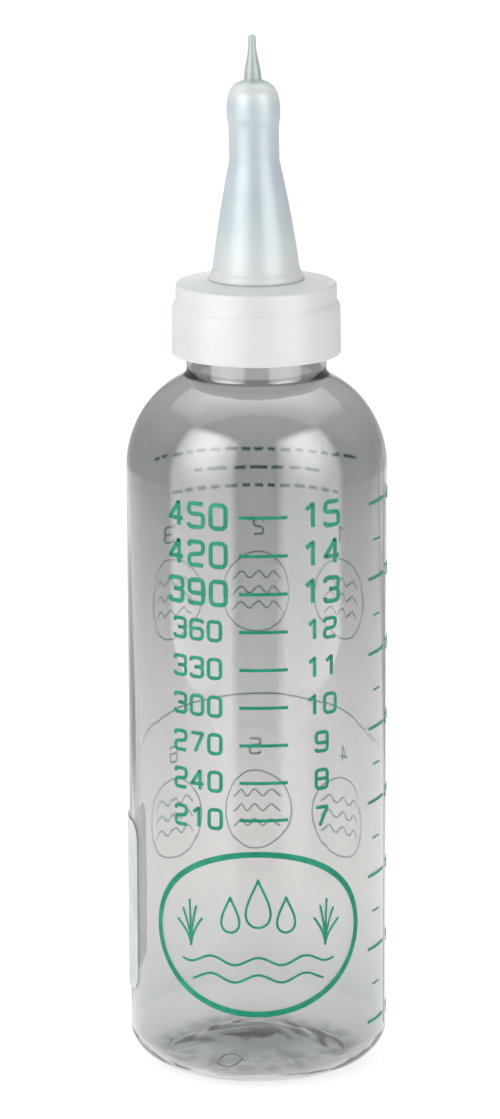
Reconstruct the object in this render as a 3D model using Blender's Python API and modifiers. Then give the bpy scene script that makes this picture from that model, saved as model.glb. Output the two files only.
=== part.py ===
# Lamb feeding bottle: a blown bottle, a screw cap, a teat that is pulled through the cap, and under it
# a vent plate with a small air valve that lets air back in while the lamb drinks.
# Metres, +Z up. The origin is the centre of the standing ring, on the surface the bottle stands on.

import math

import bmesh
import bpy

mm = 0.001

# Clearances
seat_gap = 0.3 * mm  # between two faces that rest on each other
running_gap = 0.3 * mm  # between faces that turn or slide past each other
valve_gap = 0.1 * mm  # between the closed valve and its seat
label_gap = 0.15 * mm  # glue under the label

# Bottle
body_radius = 32.5 * mm
body_wall = 0.9 * mm
heel_width = 9.0 * mm  # how far the heel draws in from the body to the standing ring
heel_height = 8.0 * mm
heel_power = 1.7  # 2 is an ellipse, 1 a straight chamfer
ring_width = 1.8 * mm  # flat ring that the bottle stands on
push_up = 6.0 * mm  # height of the raised middle of the base
shoulder_start = 153.0 * mm  # height where the straight body ends
shoulder_radius = 26.4 * mm
neck_radius = 17.4 * mm  # neck of a 38 mm finish, without its thread
neck_wall = 2.0 * mm
neck_fillet = 0.8 * mm
neck_length = 15.2 * mm  # from the end of the shoulder to the rim
rim_round = 0.6 * mm

# What lies between the rim and the cap, from below
seal_thickness = 1.0 * mm
seal_inset = 0.2 * mm  # how far the seal reaches inwards past the rim
plate_thickness = 1.4 * mm
plate_overhang = 0.5 * mm  # how far plate, seal and flange reach out past the neck
flange_thickness = 1.8 * mm

# Cap
thread_space = 1.55 * mm  # between the neck and the inside of the skirt, where the thread runs
skirt_depth = 15.4 * mm  # from the inside of the top down to the lower edge
skirt_wall = 1.85 * mm
skirt_flare = 0.2 * mm  # the skirt is this much wider at its lower edge
skirt_lead = 0.7 * mm  # lead-in inside the lower edge
ledge_step = 0.22 * mm  # fine step round the top of the skirt
ledge_height = 1.2 * mm
chamfer_height = 1.1 * mm  # slope between the lower and the upper tier
upper_tier_height = 4.4 * mm  # from the slope up to the outer edge of the top
upper_wall = 1.75 * mm
top_thickness = 2.2 * mm  # at the outer edge
top_rise = 0.9 * mm  # the top climbs this much from its edge to the hole
top_round = 0.6 * mm
hole_radius = 11.3 * mm
edge_round = 0.35 * mm

# Teat
teat_wall = 1.7 * mm
collar_overhang = 0.9 * mm  # the collar is this much wider than the groove that holds the cap
collar_height = 1.1 * mm
collar_slope = 1.7 * mm
cone_radius = 10.75 * mm  # foot of the cone
cone_length = 26.6 * mm
cone_crown = 0.3 * mm  # how far the cone swells outwards halfway up
waist_radius = 6.18 * mm
waist_length = 8.0 * mm
bulb_radius = 6.6 * mm
bulb_swell = 3.4 * mm  # length over which the waist widens to the bulb
bulb_crown = 8.5 * mm  # height of the rounded end of the bulb
bulb_power = 2.9
tip_foot_radius = 2.15 * mm
tip_radius = 0.95 * mm
tip_taper = 8.8 * mm
tip_length = 2.1 * mm

# Vent plate
port_radius = 4.5 * mm  # the milk goes up through this
spigot_height = 2.5 * mm  # ring that centres the teat on the plate
spigot_wall = 1.2 * mm
valve_circle = 11.4 * mm  # distance of the valve from the middle
boss_radius = 3.1 * mm
boss_depth = 1.2 * mm
stem_hole_radius = 1.0 * mm
knob_room_radius = 2.0 * mm
valve_web = 0.9 * mm  # what is left of the plate round the stem
groove_width = 1.6 * mm  # air comes in along this from the edge of the plate
groove_depth = 0.7 * mm

# Air valve
valve_travel = 0.8 * mm
stem_radius = 0.7 * mm
knob_radius = 1.35 * mm
knob_height = 0.55 * mm
head_radius = 2.6 * mm
head_edge = 0.35 * mm
head_dome = 0.6 * mm

# Label
label_width = 29.0 * mm
label_height = 47.5 * mm
label_corner = 4.5 * mm
label_bottom = 16.0 * mm
label_thickness = 0.2 * mm
label_angle = 180.0  # degrees from +X, so the label is on the left side

# Facets
round_steps = 48  # round the axis of the bottle, the cap, the seal, the plate and the label
teat_steps = 32
small_steps = 20  # round the valve and its holes
base_steps = 6  # across the raised base
heel_steps = 9
shoulder_steps = 11
edge_steps = 3  # round a hard edge
soft_steps = 2  # round an edge of the teat
bulb_steps = 10
cone_steps = 5
corner_steps = 5  # round a corner of the label
sharp_angle = 35  # degrees between faces, above which an edge is shaded sharp

# Places that follow from the sizes
ring_outer = body_radius - heel_width
ring_inner = ring_outer - ring_width
ring_middle = ring_outer - ring_width / 2
bore_radius = neck_radius - neck_wall
shoulder_centre = body_radius - shoulder_radius
fillet_centre = neck_radius + neck_fillet
fillet_height = shoulder_start + math.sqrt(
    (shoulder_radius + neck_fillet) ** 2 - (fillet_centre - shoulder_centre) ** 2
)
rim_height = fillet_height + neck_length - neck_fillet
seal_bottom = rim_height + seat_gap
plate_bottom = seal_bottom + seal_thickness + seat_gap
plate_top = plate_bottom + plate_thickness
flange_bottom = plate_top + seat_gap
flange_top = flange_bottom + flange_thickness
cap_inside = flange_top + seat_gap
cap_bottom = cap_inside - skirt_depth
stack_radius = neck_radius + plate_overhang
pocket_radius = stack_radius + running_gap
skirt_inner = neck_radius + thread_space
groove_radius = hole_radius - running_gap
mouth_radius = groove_radius - teat_wall
valve_seat = plate_bottom - boss_depth


def arc(centre, radius, start, end, steps):
    """Points on a circle, centre given as (r, z), angles in degrees from outwards towards up."""
    points = []
    for step in range(steps + 1):
        angle = math.radians(start + (end - start) * step / steps)
        points.append((centre[0] + radius * math.cos(angle), centre[1] + radius * math.sin(angle)))
    return points


def rounded(corner, width, height, power, steps):
    """A quarter of a superellipse from straight above the corner's foot, outwards and down.

    corner is (r, z) of its centre. It starts at (r, z + height) and ends at (r + width, z)."""
    points = []
    for step in range(steps + 1):
        angle = math.pi / 2 * (1 - step / steps)
        points.append(
            (
                corner[0] + width * math.cos(angle) ** (2 / power),
                corner[1] + height * math.sin(angle) ** (2 / power),
            )
        )
    return points


def eased(start, end, steps):
    """Points between two (r, z) points, the radius easing in and out along the height."""
    points = []
    for step in range(steps + 1):
        share = step / steps
        ease = share * share * (3 - 2 * share)
        points.append(
            (start[0] + (end[0] - start[0]) * ease, start[1] + (end[1] - start[1]) * share)
        )
    return points


def collection_named(name):
    """A new collection in the scene."""
    made = bpy.data.collections.new(name)
    bpy.context.scene.collection.children.link(made)
    return made


def plastic(name, colour, roughness, transmission=0.0, alpha=1.0):
    """A Principled material."""
    material = bpy.data.materials.new(name)
    material.use_nodes = True
    shader = material.node_tree.nodes["Principled BSDF"]
    shader.inputs["Base Color"].default_value = (*colour, 1.0)
    shader.inputs["Roughness"].default_value = roughness
    shader.inputs["Metallic"].default_value = 0.0
    shader.inputs["Transmission Weight"].default_value = transmission
    shader.inputs["Alpha"].default_value = alpha
    return material


def without_doubles(points):
    """The points without any that lies on the one before."""
    kept = [points[0]]
    for point in points[1:]:
        if math.dist(point, kept[-1]) > 1e-6:
            kept.append(point)
    return kept


def turned(name, profile, steps, place, collection, closed=False):
    """A round piece from its profile, a list of (r, z), turned about its own Z axis."""
    points = without_doubles(profile)
    mesh = bpy.data.meshes.new(name)
    edges = [(i, i + 1) for i in range(len(points) - 1)]
    if closed:
        edges.append((len(points) - 1, 0))
    mesh.from_pydata([(r, 0, z) for r, z in points], edges, [])
    piece = bpy.data.objects.new(name, mesh)
    collection.objects.link(piece)
    turn = piece.modifiers.new("turn", "SCREW")
    turn.axis = "Z"
    turn.steps = steps
    turn.render_steps = steps
    turn.use_merge_vertices = True
    turn.merge_threshold = 0.00001
    graph = bpy.context.evaluated_depsgraph_get()
    piece.data = bpy.data.meshes.new_from_object(piece.evaluated_get(graph))
    piece.modifiers.clear()
    bpy.data.meshes.remove(mesh)
    piece.data.name = name
    piece.data.shade_smooth()
    piece.data.set_sharp_from_angle(angle=math.radians(sharp_angle))
    piece.location = place
    return piece


def cylinder(name, radius, bottom, top, place, collection):
    """A plain cylinder between two heights, for a Boolean."""
    shape = bmesh.new()
    bmesh.ops.create_cone(
        shape,
        cap_ends=True,
        segments=small_steps,
        radius1=radius,
        radius2=radius,
        depth=top - bottom,
    )
    mesh = bpy.data.meshes.new(name)
    shape.to_mesh(mesh)
    shape.free()
    piece = bpy.data.objects.new(name, mesh)
    collection.objects.link(piece)
    piece.location = (place[0], place[1], (bottom + top) / 2)
    return piece


def box(name, low, high, collection):
    """A plain box between two corners, for a Boolean."""
    shape = bmesh.new()
    bmesh.ops.create_cube(shape, size=1.0)
    size = [high[i] - low[i] for i in range(3)]
    bmesh.ops.scale(shape, vec=size, verts=shape.verts)
    mesh = bpy.data.meshes.new(name)
    shape.to_mesh(mesh)
    shape.free()
    piece = bpy.data.objects.new(name, mesh)
    collection.objects.link(piece)
    piece.location = [(low[i] + high[i]) / 2 for i in range(3)]
    return piece


def as_tool(piece):
    """Marks a piece as a helper, which is neither rendered nor built."""
    piece.hide_render = True
    piece.display_type = "WIRE"


def boolean(piece, tool, operation):
    """Cuts, joins or keeps what a piece shares with a tool."""
    as_tool(tool)
    step = piece.modifiers.new(tool.name, "BOOLEAN")
    step.operation = operation
    step.solver = "EXACT"
    step.object = tool


def bottle_profile():
    """The wall's section: up the inside from the middle of the base, over the rim and down the outside."""
    points = []
    for step in range(base_steps):
        radius = ring_middle * step / base_steps
        points.append((radius, body_wall + push_up * (1 - (radius / ring_middle) ** 2)))
    points += rounded(
        (ring_middle, heel_height),
        body_radius - body_wall - ring_middle,
        body_wall - heel_height,
        heel_power,
        heel_steps,
    )
    inner_radius = shoulder_radius - body_wall
    inner_turn = math.degrees(math.acos((bore_radius - shoulder_centre) / inner_radius))
    points += arc((shoulder_centre, shoulder_start), inner_radius, 0, inner_turn, shoulder_steps)
    rim_centre = rim_height - rim_round
    points += arc((bore_radius + rim_round, rim_centre), rim_round, 180, 90, edge_steps)
    points += arc((neck_radius - rim_round, rim_centre), rim_round, 90, 0, edge_steps)
    outer_turn = math.degrees(
        math.acos((fillet_centre - shoulder_centre) / (shoulder_radius + neck_fillet))
    )
    points += arc((fillet_centre, fillet_height), neck_fillet, 180, 180 + outer_turn, edge_steps)
    points += arc((shoulder_centre, shoulder_start), shoulder_radius, outer_turn, 0, shoulder_steps)
    outer_heel = rounded(
        (ring_outer, heel_height), heel_width, -heel_height, heel_power, heel_steps
    )
    points += reversed(outer_heel)
    for step in range(base_steps, -1, -1):
        radius = ring_inner * step / base_steps
        points.append((radius, push_up * (1 - (radius / ring_inner) ** 2)))
    return points


def make_bottle(collection):
    """The blown bottle, open inside from the rim to the raised base."""
    piece = turned("bottle", bottle_profile(), round_steps, (0, 0, 0), collection)
    piece.data.materials.append(plastic("clear_bottle", (0.86, 0.9, 0.88), 0.06, 0.9, 0.35))
    return piece


def cap_profile():
    """The cap's section, heights from its lower edge: down the outside, up the inside, out along the top."""
    skirt_outer = skirt_inner + skirt_wall
    upper_radius = pocket_radius + upper_wall
    top_edge = skirt_depth + top_thickness
    hole_top = top_edge + top_rise
    slope_top = top_edge - upper_tier_height
    slope_bottom = slope_top - chamfer_height
    ledge_bottom = slope_bottom - ledge_height
    lower_radius = skirt_outer + skirt_flare
    pocket_floor = rim_height - rim_round - cap_bottom
    points = arc((upper_radius - top_round, top_edge - top_round), top_round, 80, 0, edge_steps)
    points += [
        (upper_radius, slope_top),
        (skirt_outer - ledge_step, slope_bottom),
        (skirt_outer - ledge_step, ledge_bottom),
        (skirt_outer, ledge_bottom - ledge_step),
    ]
    points += arc((lower_radius - edge_round, edge_round), edge_round, 0, -90, edge_steps)
    points += [
        (skirt_inner + skirt_lead, 0),
        (skirt_inner, skirt_lead),
        (skirt_inner, pocket_floor - (skirt_inner - pocket_radius)),
        (pocket_radius, pocket_floor),
        (pocket_radius, skirt_depth),
    ]
    hole_edge = hole_radius + edge_round
    points += arc((hole_edge, skirt_depth + edge_round), edge_round, 270, 180, edge_steps)
    points += arc((hole_edge, hole_top - edge_round), edge_round, 180, 90, edge_steps)
    return points


def make_cap(collection):
    """The two-tier screw cap with a hole for the teat."""
    piece = turned(
        "screw_cap", cap_profile(), round_steps, (0, 0, cap_bottom), collection, closed=True
    )
    piece.data.materials.append(plastic("white_cap", (0.86, 0.86, 0.84), 0.32))
    return piece


def teat_profile():
    """The teat's section, heights from the flange's lower face: down the outside, up the inside."""
    groove_top = flange_thickness + seat_gap + top_thickness + top_rise + running_gap
    collar_top = groove_top + collar_height
    cone_foot = collar_top + collar_slope
    cone_top = cone_foot + cone_length
    waist_top = cone_top + waist_length
    bulb_foot = waist_top + bulb_swell
    bulb_top = bulb_foot + bulb_crown
    taper_top = bulb_top + tip_taper
    tip_top = taper_top + tip_length
    collar_radius = groove_radius + collar_overhang
    inner_waist = waist_radius - teat_wall
    inner_bulb = bulb_radius - teat_wall

    points = rounded((0, tip_top - tip_radius), tip_radius, tip_radius, 2, edge_steps)
    points.append((tip_radius, taper_top))
    crown = rounded((0, bulb_foot), bulb_radius, bulb_crown, bulb_power, bulb_steps)
    points += eased((tip_radius, taper_top), (tip_foot_radius, bulb_top), edge_steps)[1:-1]
    points += [point for point in crown if point[0] > tip_foot_radius]
    points += eased((bulb_radius, bulb_foot), (waist_radius, waist_top), cone_steps)[1:]
    for step in range(cone_steps + 1):
        share = step / cone_steps
        swell = cone_crown * 4 * share * (1 - share)
        points.append(
            (
                waist_radius + (cone_radius - waist_radius) * share + swell,
                cone_top - cone_length * share,
            )
        )
    points += eased((cone_radius, cone_foot), (collar_radius - edge_round, collar_top), edge_steps)[1:]
    collar_edge = collar_radius - edge_round
    points += arc((collar_edge, collar_top - edge_round), edge_round, 90, 0, soft_steps)
    points += arc((collar_edge, groove_top + edge_round), edge_round, 0, -90, soft_steps)
    points += [
        (groove_radius, groove_top),
        (groove_radius, flange_thickness),
    ]
    flange_edge = stack_radius - edge_round
    points += arc((flange_edge, flange_thickness - edge_round), edge_round, 90, 0, soft_steps)
    points += arc((flange_edge, edge_round), edge_round, 0, -90, soft_steps)
    points += arc((mouth_radius + edge_round, edge_round), edge_round, 270, 180, soft_steps)
    points.append((mouth_radius, collar_top))
    for step in range(1, cone_steps):
        share = step / cone_steps
        swell = cone_crown * 4 * share * (1 - share)
        points.append(
            (
                mouth_radius + (inner_waist - mouth_radius) * share + swell,
                cone_foot + (cone_top - cone_foot) * share,
            )
        )
    points += eased((inner_waist, waist_top), (inner_bulb, bulb_foot), soft_steps)
    inner_crown = rounded(
        (0, bulb_foot), inner_bulb, bulb_crown - teat_wall, bulb_power, bulb_steps // 2
    )
    points += list(reversed(inner_crown))[1:]
    return points


def make_teat(collection):
    """The hollow teat, closed at its tip, with the groove that holds it in the cap."""
    piece = turned("teat", teat_profile(), teat_steps, (0, 0, flange_bottom), collection)
    piece.data.materials.append(plastic("milky_teat", (0.78, 0.85, 0.88), 0.35, 0.3))
    return piece


def make_seal(collection):
    """The flat ring between the rim and the vent plate."""
    inner = bore_radius - seal_inset
    bevel = seal_thickness / 5
    profile = [
        (stack_radius - bevel, seal_thickness),
        (stack_radius, seal_thickness - bevel),
        (stack_radius, bevel),
        (stack_radius - bevel, 0),
        (inner + bevel, 0),
        (inner, bevel),
        (inner, seal_thickness - bevel),
        (inner + bevel, seal_thickness),
    ]
    piece = turned("rim_seal", profile, round_steps, (0, 0, seal_bottom), collection, closed=True)
    piece.data.materials.append(plastic("seal_ring", (0.8, 0.82, 0.82), 0.5))
    return piece


def make_plate(collection, tools):
    """The vent plate: milk port in the middle, spigot for the teat, and a boss with the valve's seat."""
    spigot_outer = mouth_radius - running_gap
    spigot_top = plate_thickness + spigot_height
    profile = [
        (stack_radius, plate_thickness),
        (stack_radius, 0),
        (port_radius + edge_round, 0),
        (port_radius, edge_round),
        (port_radius, plate_thickness - edge_round),
        (port_radius + edge_round, plate_thickness),
        (spigot_outer - spigot_wall, plate_thickness),
        (spigot_outer - spigot_wall, spigot_top),
        (spigot_outer - edge_round, spigot_top),
        (spigot_outer, spigot_top - edge_round),
        (spigot_outer, plate_thickness),
    ]
    piece = turned(
        "vent_plate", profile, round_steps, (0, 0, plate_bottom), collection, closed=True
    )
    piece.data.materials.append(plastic("plate_plastic", (0.82, 0.84, 0.84), 0.4))

    place = (valve_circle, 0)
    boss = cylinder(
        "valve_boss", boss_radius, valve_seat, plate_bottom + plate_thickness / 2, place, tools
    )
    boolean(piece, boss, "UNION")
    room = cylinder(
        "knob_room", knob_room_radius, valve_seat + valve_web, plate_top + plate_thickness, place, tools
    )
    boolean(piece, room, "DIFFERENCE")
    hole = cylinder(
        "stem_hole", stem_hole_radius, valve_seat - boss_depth, plate_top, place, tools
    )
    boolean(piece, hole, "DIFFERENCE")
    groove = box(
        "air_groove",
        (valve_circle, -groove_width / 2, plate_top - groove_depth),
        (stack_radius + plate_overhang, groove_width / 2, plate_top + plate_thickness),
        tools,
    )
    boolean(piece, groove, "DIFFERENCE")
    return piece


def valve_profile():
    """The valve's section, heights from its seat: a knob, a stem and a thin domed head below."""
    head_top = -valve_gap
    knob_bottom = valve_web + valve_travel + valve_gap
    knob_top = knob_bottom + knob_height
    bevel = knob_height / 3
    return [
        (0, knob_top),
        (knob_radius - bevel, knob_top),
        (knob_radius, knob_top - bevel),
        (knob_radius, knob_bottom),
        (stem_radius, knob_bottom),
        (stem_radius, head_top),
        (head_radius, head_top),
        (head_radius, head_top - head_edge),
    ] + [
        (
            head_radius * share,
            head_top - head_edge - head_dome * (1 - share**2),
        )
        for share in (0.75, 0.5, 0.25, 0)
    ]


def make_valve(collection):
    """The mushroom valve, which hangs in the plate and drops open when air is drawn in."""
    place = (valve_circle, 0, valve_seat)
    piece = turned("air_valve", valve_profile(), small_steps, place, collection)
    piece.data.materials.append(plastic("valve_rubber", (0.75, 0.8, 0.82), 0.45))
    return piece


def make_label(collection, tools):
    """The bare paper label: a thin sleeve round the body, of which a window keeps one rounded oblong."""
    inner = body_radius + label_gap
    outer = inner + label_thickness
    top = label_bottom + label_height
    margin = label_corner
    profile = [
        (outer, top + margin),
        (outer, label_bottom - margin),
        (inner, label_bottom - margin),
        (inner, top + margin),
    ]
    piece = turned("side_label", profile, round_steps, (0, 0, 0), collection, closed=True)
    piece.data.materials.append(plastic("label_paper", (0.88, 0.88, 0.88), 0.6))

    shape = bmesh.new()
    outline = []
    for turn, side, end in ((0, 1, 1), (90, -1, 1), (180, -1, -1), (270, 1, -1)):
        across = side * (label_width / 2 - label_corner)
        height = label_bottom + label_height / 2 + end * (label_height / 2 - label_corner)
        for point in arc((across, height), label_corner, turn, turn + 90, corner_steps):
            outline.append(shape.verts.new((0, point[0], point[1])))
    face = shape.faces.new(outline)
    pushed = bmesh.ops.extrude_face_region(shape, geom=[face])
    moved = [item for item in pushed["geom"] if isinstance(item, bmesh.types.BMVert)]
    bmesh.ops.translate(shape, vec=(outer * 2, 0, 0), verts=moved)
    bmesh.ops.recalc_face_normals(shape, faces=shape.faces)
    mesh = bpy.data.meshes.new("label_window")
    shape.to_mesh(mesh)
    shape.free()
    window = bpy.data.objects.new("label_window", mesh)
    tools.objects.link(window)
    window.rotation_euler = (0, 0, math.radians(label_angle))
    boolean(piece, window, "INTERSECT")
    return piece


def main():
    """Clears the scene and builds the bottle."""
    for thing in list(bpy.data.objects):
        bpy.data.objects.remove(thing, do_unlink=True)
    pieces = collection_named("lamb_feeding_bottle")
    tools = collection_named("cutters")

    closure = bpy.data.objects.new("closure_axis", None)
    closure.empty_display_size = neck_radius
    closure.location = (0, 0, rim_height)
    pieces.objects.link(closure)
    bpy.context.view_layer.update()

    make_bottle(pieces)
    make_label(pieces, tools)
    for piece in (
        make_cap(pieces),
        make_teat(pieces),
        make_seal(pieces),
        make_plate(pieces, tools),
        make_valve(pieces),
    ):
        piece.parent = closure
        piece.matrix_parent_inverse = closure.matrix_world.inverted()


main()
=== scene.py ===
# Looks of the lamb feeding bottle: a clear blown bottle with green print, a white screw cap and a milky teat.
# Metres, +Z up, and the printed front faces -Y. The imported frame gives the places, dictionaries the sizes.

import math

import bpy
import numpy as np
from mathutils import Matrix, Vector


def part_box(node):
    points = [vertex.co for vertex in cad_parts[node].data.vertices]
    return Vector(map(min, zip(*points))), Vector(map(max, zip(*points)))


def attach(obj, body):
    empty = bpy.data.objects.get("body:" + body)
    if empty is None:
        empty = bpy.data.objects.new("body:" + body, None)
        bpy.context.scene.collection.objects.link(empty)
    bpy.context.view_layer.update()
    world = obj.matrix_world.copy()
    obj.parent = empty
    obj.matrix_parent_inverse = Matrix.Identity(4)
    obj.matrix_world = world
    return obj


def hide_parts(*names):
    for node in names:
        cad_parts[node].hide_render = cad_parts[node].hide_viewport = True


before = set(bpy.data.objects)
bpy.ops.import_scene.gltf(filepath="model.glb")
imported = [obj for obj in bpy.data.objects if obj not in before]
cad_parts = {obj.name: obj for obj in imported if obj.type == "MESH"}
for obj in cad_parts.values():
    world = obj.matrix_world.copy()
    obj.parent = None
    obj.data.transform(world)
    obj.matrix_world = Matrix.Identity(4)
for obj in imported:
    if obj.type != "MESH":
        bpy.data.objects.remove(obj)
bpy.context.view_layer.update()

mm = 0.001
samePlace = 1e-7  # points nearer than this are one point
print("frame:", ", ".join(sorted(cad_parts)))


# Paths and meshes. A path is an array of points (radius or distance across, height), and the last value that
# makes one is its count of points.

def asPath(across, height):
    return np.stack(np.broadcast_arrays(across, height), axis=1)


def joinPaths(*stretches):
    # joins stretches of points and drops each point that lies on the one before it
    points = np.concatenate([np.asarray(stretch, float).reshape(-1, 2) for stretch in stretches])
    apart = np.linalg.norm(np.diff(points, axis=0), axis=1) > samePlace
    return points[np.concatenate([[True], apart])]


def ease(share):
    # from 0 to 1 with level ends: share^2 * (3 - 2 * share)
    return share * share * (3 - 2 * share)


def linePath(start, end, count=2):
    # start + (end - start) * share, the share running evenly from 0 to 1
    share = np.linspace(0, 1, count)[:, None]
    return np.asarray(start) + (np.asarray(end) - np.asarray(start)) * share


def arcPath(centre, radius, start, end, count=6):
    # centre + radius * (cosine, sine) of an angle in degrees, from outwards towards up
    angle = np.radians(np.linspace(start, end, count))
    return asPath(centre[0] + radius * np.cos(angle), centre[1] + radius * np.sin(angle))


def ovalPath(centre, width, height, power, count):
    # superellipse quarter: centre + (width * cos^(2/power), height * sin^(2/power)), ending straight outwards
    angle = np.pi / 2 * (1 - np.linspace(0, 1, count))
    across = np.clip(np.cos(angle), 0, 1) ** (2 / power)
    along = np.clip(np.sin(angle), 0, 1) ** (2 / power)
    return asPath(centre[0] + width * across, centre[1] + height * along)


def easedPath(start, end, count):
    # the height runs evenly while the radius eases in and out
    share = np.linspace(0, 1, count)
    return asPath(start[0] + (end[0] - start[0]) * ease(share), start[1] + (end[1] - start[1]) * share)


def crownedPath(start, end, swell, count):
    # a straight line that swells outwards by 4 * swell * share * (1 - share)
    share = np.linspace(0, 1, count)
    return linePath(start, end, count) + asPath(4 * swell * share * (1 - share), 0)


def anglesOf(columns):
    return np.arange(columns) * 2 * np.pi / columns


def spreadProfile(profile, columns):
    # radius and height as grids with a row for each point of the profile, and the angle of each column
    radius, height = (np.repeat(profile[:, [axis]], columns, axis=1) for axis in (0, 1))
    return radius, height, anglesOf(columns)


def outwards(points, faces):
    # sums the signed volume of each face's fan and turns all faces round if it comes out negative
    total = 0.0
    for face in faces:
        corners = points[face]
        for last in range(2, face.shape[1]):
            normals = np.cross(corners[:, last - 1], corners[:, last])
            total += np.einsum("ij,ij->i", corners[:, 0], normals).sum()
    return faces if total > 0 else [face[:, ::-1] for face in faces]


def newObject(name, data):
    thing = bpy.data.objects.new(name, data)
    bpy.context.scene.collection.objects.link(thing)
    return thing


def newPiece(name, points, faces, material, body, sharpAngle=38):
    faces = outwards(points, faces)
    mesh = bpy.data.meshes.new(name)
    mesh.from_pydata(points, [], [row for face in faces for row in face.tolist()])
    mesh.shade_smooth()
    mesh.set_sharp_from_angle(angle=math.radians(sharpAngle))
    mesh.materials.append(material)
    piece = newObject(name, mesh)
    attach(piece, body)
    return piece


def turnedFaces(radius, height, loop=False, lean=0.0):
    # Each profile row is carried round the axis: x = radius * cos(angle) + lean, y = radius * sin(angle),
    # z = height. radius and height are (rows, columns). A profile that isn't a loop ends in two poles.
    rows, columns = radius.shape
    angle = anglesOf(columns)
    points = np.stack([radius * np.cos(angle) + lean, radius * np.sin(angle), height], axis=2)
    grid = np.arange(rows * columns).reshape(rows, columns)
    if loop:
        lower, upper = grid, np.roll(grid, -1, axis=0)
        poles, caps = np.zeros((0, 3)), []
    else:
        lower, upper = grid[:-1], grid[1:]
        poles = points[[0, -1]].mean(axis=1)
        first = np.full(columns, rows * columns)
        caps = [
            np.stack([first, grid[0], np.roll(grid[0], -1)], axis=1),
            np.stack([first + 1, np.roll(grid[-1], -1), grid[-1]], axis=1),
        ]
    quads = np.stack([lower, upper, np.roll(upper, -1, axis=1), np.roll(lower, -1, axis=1)], axis=2)
    return np.concatenate([points.reshape(-1, 3), poles]), [quads.reshape(-1, 4)] + caps


def threadHeight(angle, height, thread):
    # A helix climbs pitch a turn, counter-clockwise seen from above. A point's offset from the nearest turn
    # gives the flank, a trapezium in section, and its place along the helix fades the two ends out.
    climb = (height - thread["start"]) / thread["pitch"] - angle / (2 * np.pi)
    turn = np.round(climb)
    offset = np.abs(climb - turn) * thread["pitch"]
    along = turn + angle / (2 * np.pi)
    flank = (thread["rootWidth"] / 2 - offset) / ((thread["rootWidth"] - thread["crestWidth"]) / 2)
    ends = np.minimum(along - thread["firstTurn"], thread["lastTurn"] - along) / thread["fade"]
    return thread["crest"] * np.clip(flank, 0, 1) * ease(np.clip(ends, 0, 1))


# Shader parts

def setInputs(tree, node, **inputs):
    # links sockets, sets numbers and colours; a name has _ for a space, and _6 is the input of that index
    for name, value in inputs.items():
        socket = node.inputs[int(name[1:])] if name[1:].isdigit() else node.inputs[name.replace("_", " ")]
        if isinstance(value, bpy.types.NodeSocket):
            tree.links.new(value, socket)
        else:
            socket.default_value = value


def addNode(tree, kind, settings=None, **inputs):
    node = tree.nodes.new(kind)
    for name, value in (settings or {}).items():
        setattr(node, name, value)
    setInputs(tree, node, **inputs)
    return node


def mathNode(tree, operation, first, second=0.0, clamp=False):
    node = addNode(tree, "ShaderNodeMath", {"operation": operation, "use_clamp": clamp}, _0=first, _1=second)
    return node.outputs[0]


def timesNode(tree, first, second):
    return mathNode(tree, "MULTIPLY", first, second)


def rampNode(tree, value, low, high, start=0.0, end=1.0):
    # maps value from low..high to start..end, smoothly and clamped
    node = addNode(
        tree, "ShaderNodeMapRange", {"interpolation_type": "SMOOTHSTEP"},
        Value=value, From_Min=low, From_Max=high, To_Min=start, To_Max=end,
    )
    return node.outputs["Result"]


def mixColour(tree, share, first, second):
    return addNode(tree, "ShaderNodeMix", {"data_type": "RGBA"}, _0=share, _6=first, _7=second).outputs[2]


def noiseNode(tree, place, size, **inputs):
    return addNode(tree, "ShaderNodeTexNoise", None, Vector=place, Scale=size, **inputs).outputs["Fac"]


def vectorNode(tree, operation, first, second=(0.0, 0.0, 0.0)):
    return addNode(tree, "ShaderNodeVectorMath", {"operation": operation}, _0=first, _1=second)


def lengthNode(tree, vector):
    return vectorNode(tree, "LENGTH", vector).outputs["Value"]


def stretchNode(tree, place, scale, turn=(0.0, 0.0, 0.0)):
    node = addNode(tree, "ShaderNodeMapping", None, Vector=place, Rotation=turn, Scale=scale)
    return node.outputs["Vector"]


def axesNode(tree, vector):
    return addNode(tree, "ShaderNodeSeparateXYZ", None, Vector=vector).outputs


def bumpNode(tree, height, strength, distance):
    node = addNode(tree, "ShaderNodeBump", None, Height=height, Strength=strength, Distance=distance)
    return node.outputs["Normal"]


def roughNode(tree, base, masks, shares):
    # base + each mask * its share
    for mask, share in shares.items():
        base = mathNode(tree, "ADD", base, timesNode(tree, masks[mask], share))
    return base


def newGroup(name, sizes, masks):
    # a shader group that takes the place and sizes and gives masks; also the sockets and node at its ends
    group = bpy.data.node_groups.new(name, "ShaderNodeTree")
    group.interface.new_socket("Place", in_out="INPUT", socket_type="NodeSocketVector")
    for label, value in sizes.items():
        socket = group.interface.new_socket(label, in_out="INPUT", socket_type="NodeSocketFloat")
        socket.default_value = value
    for label in masks:
        group.interface.new_socket(label, in_out="OUTPUT", socket_type="NodeSocketFloat")
    return group, group.nodes.new("NodeGroupInput").outputs, group.nodes.new("NodeGroupOutput")


def makeMouldedGroup():
    # the fine orange peel and the slow cloudiness of a moulded surface
    sizes = {"Grain Size": 900.0, "Cloud Size": 60.0}
    group, given, out = newGroup("mouldedSurface", sizes, ("Height", "Cloud"))
    grain = noiseNode(group, given["Place"], given["Grain Size"], Detail=3.0, Roughness=0.55)
    cloud = noiseNode(group, given["Place"], given["Cloud Size"], Detail=4.0, Roughness=0.6)
    setInputs(group, out, Height=grain, Cloud=rampNode(group, cloud, 0.3, 0.7))
    return group


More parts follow.
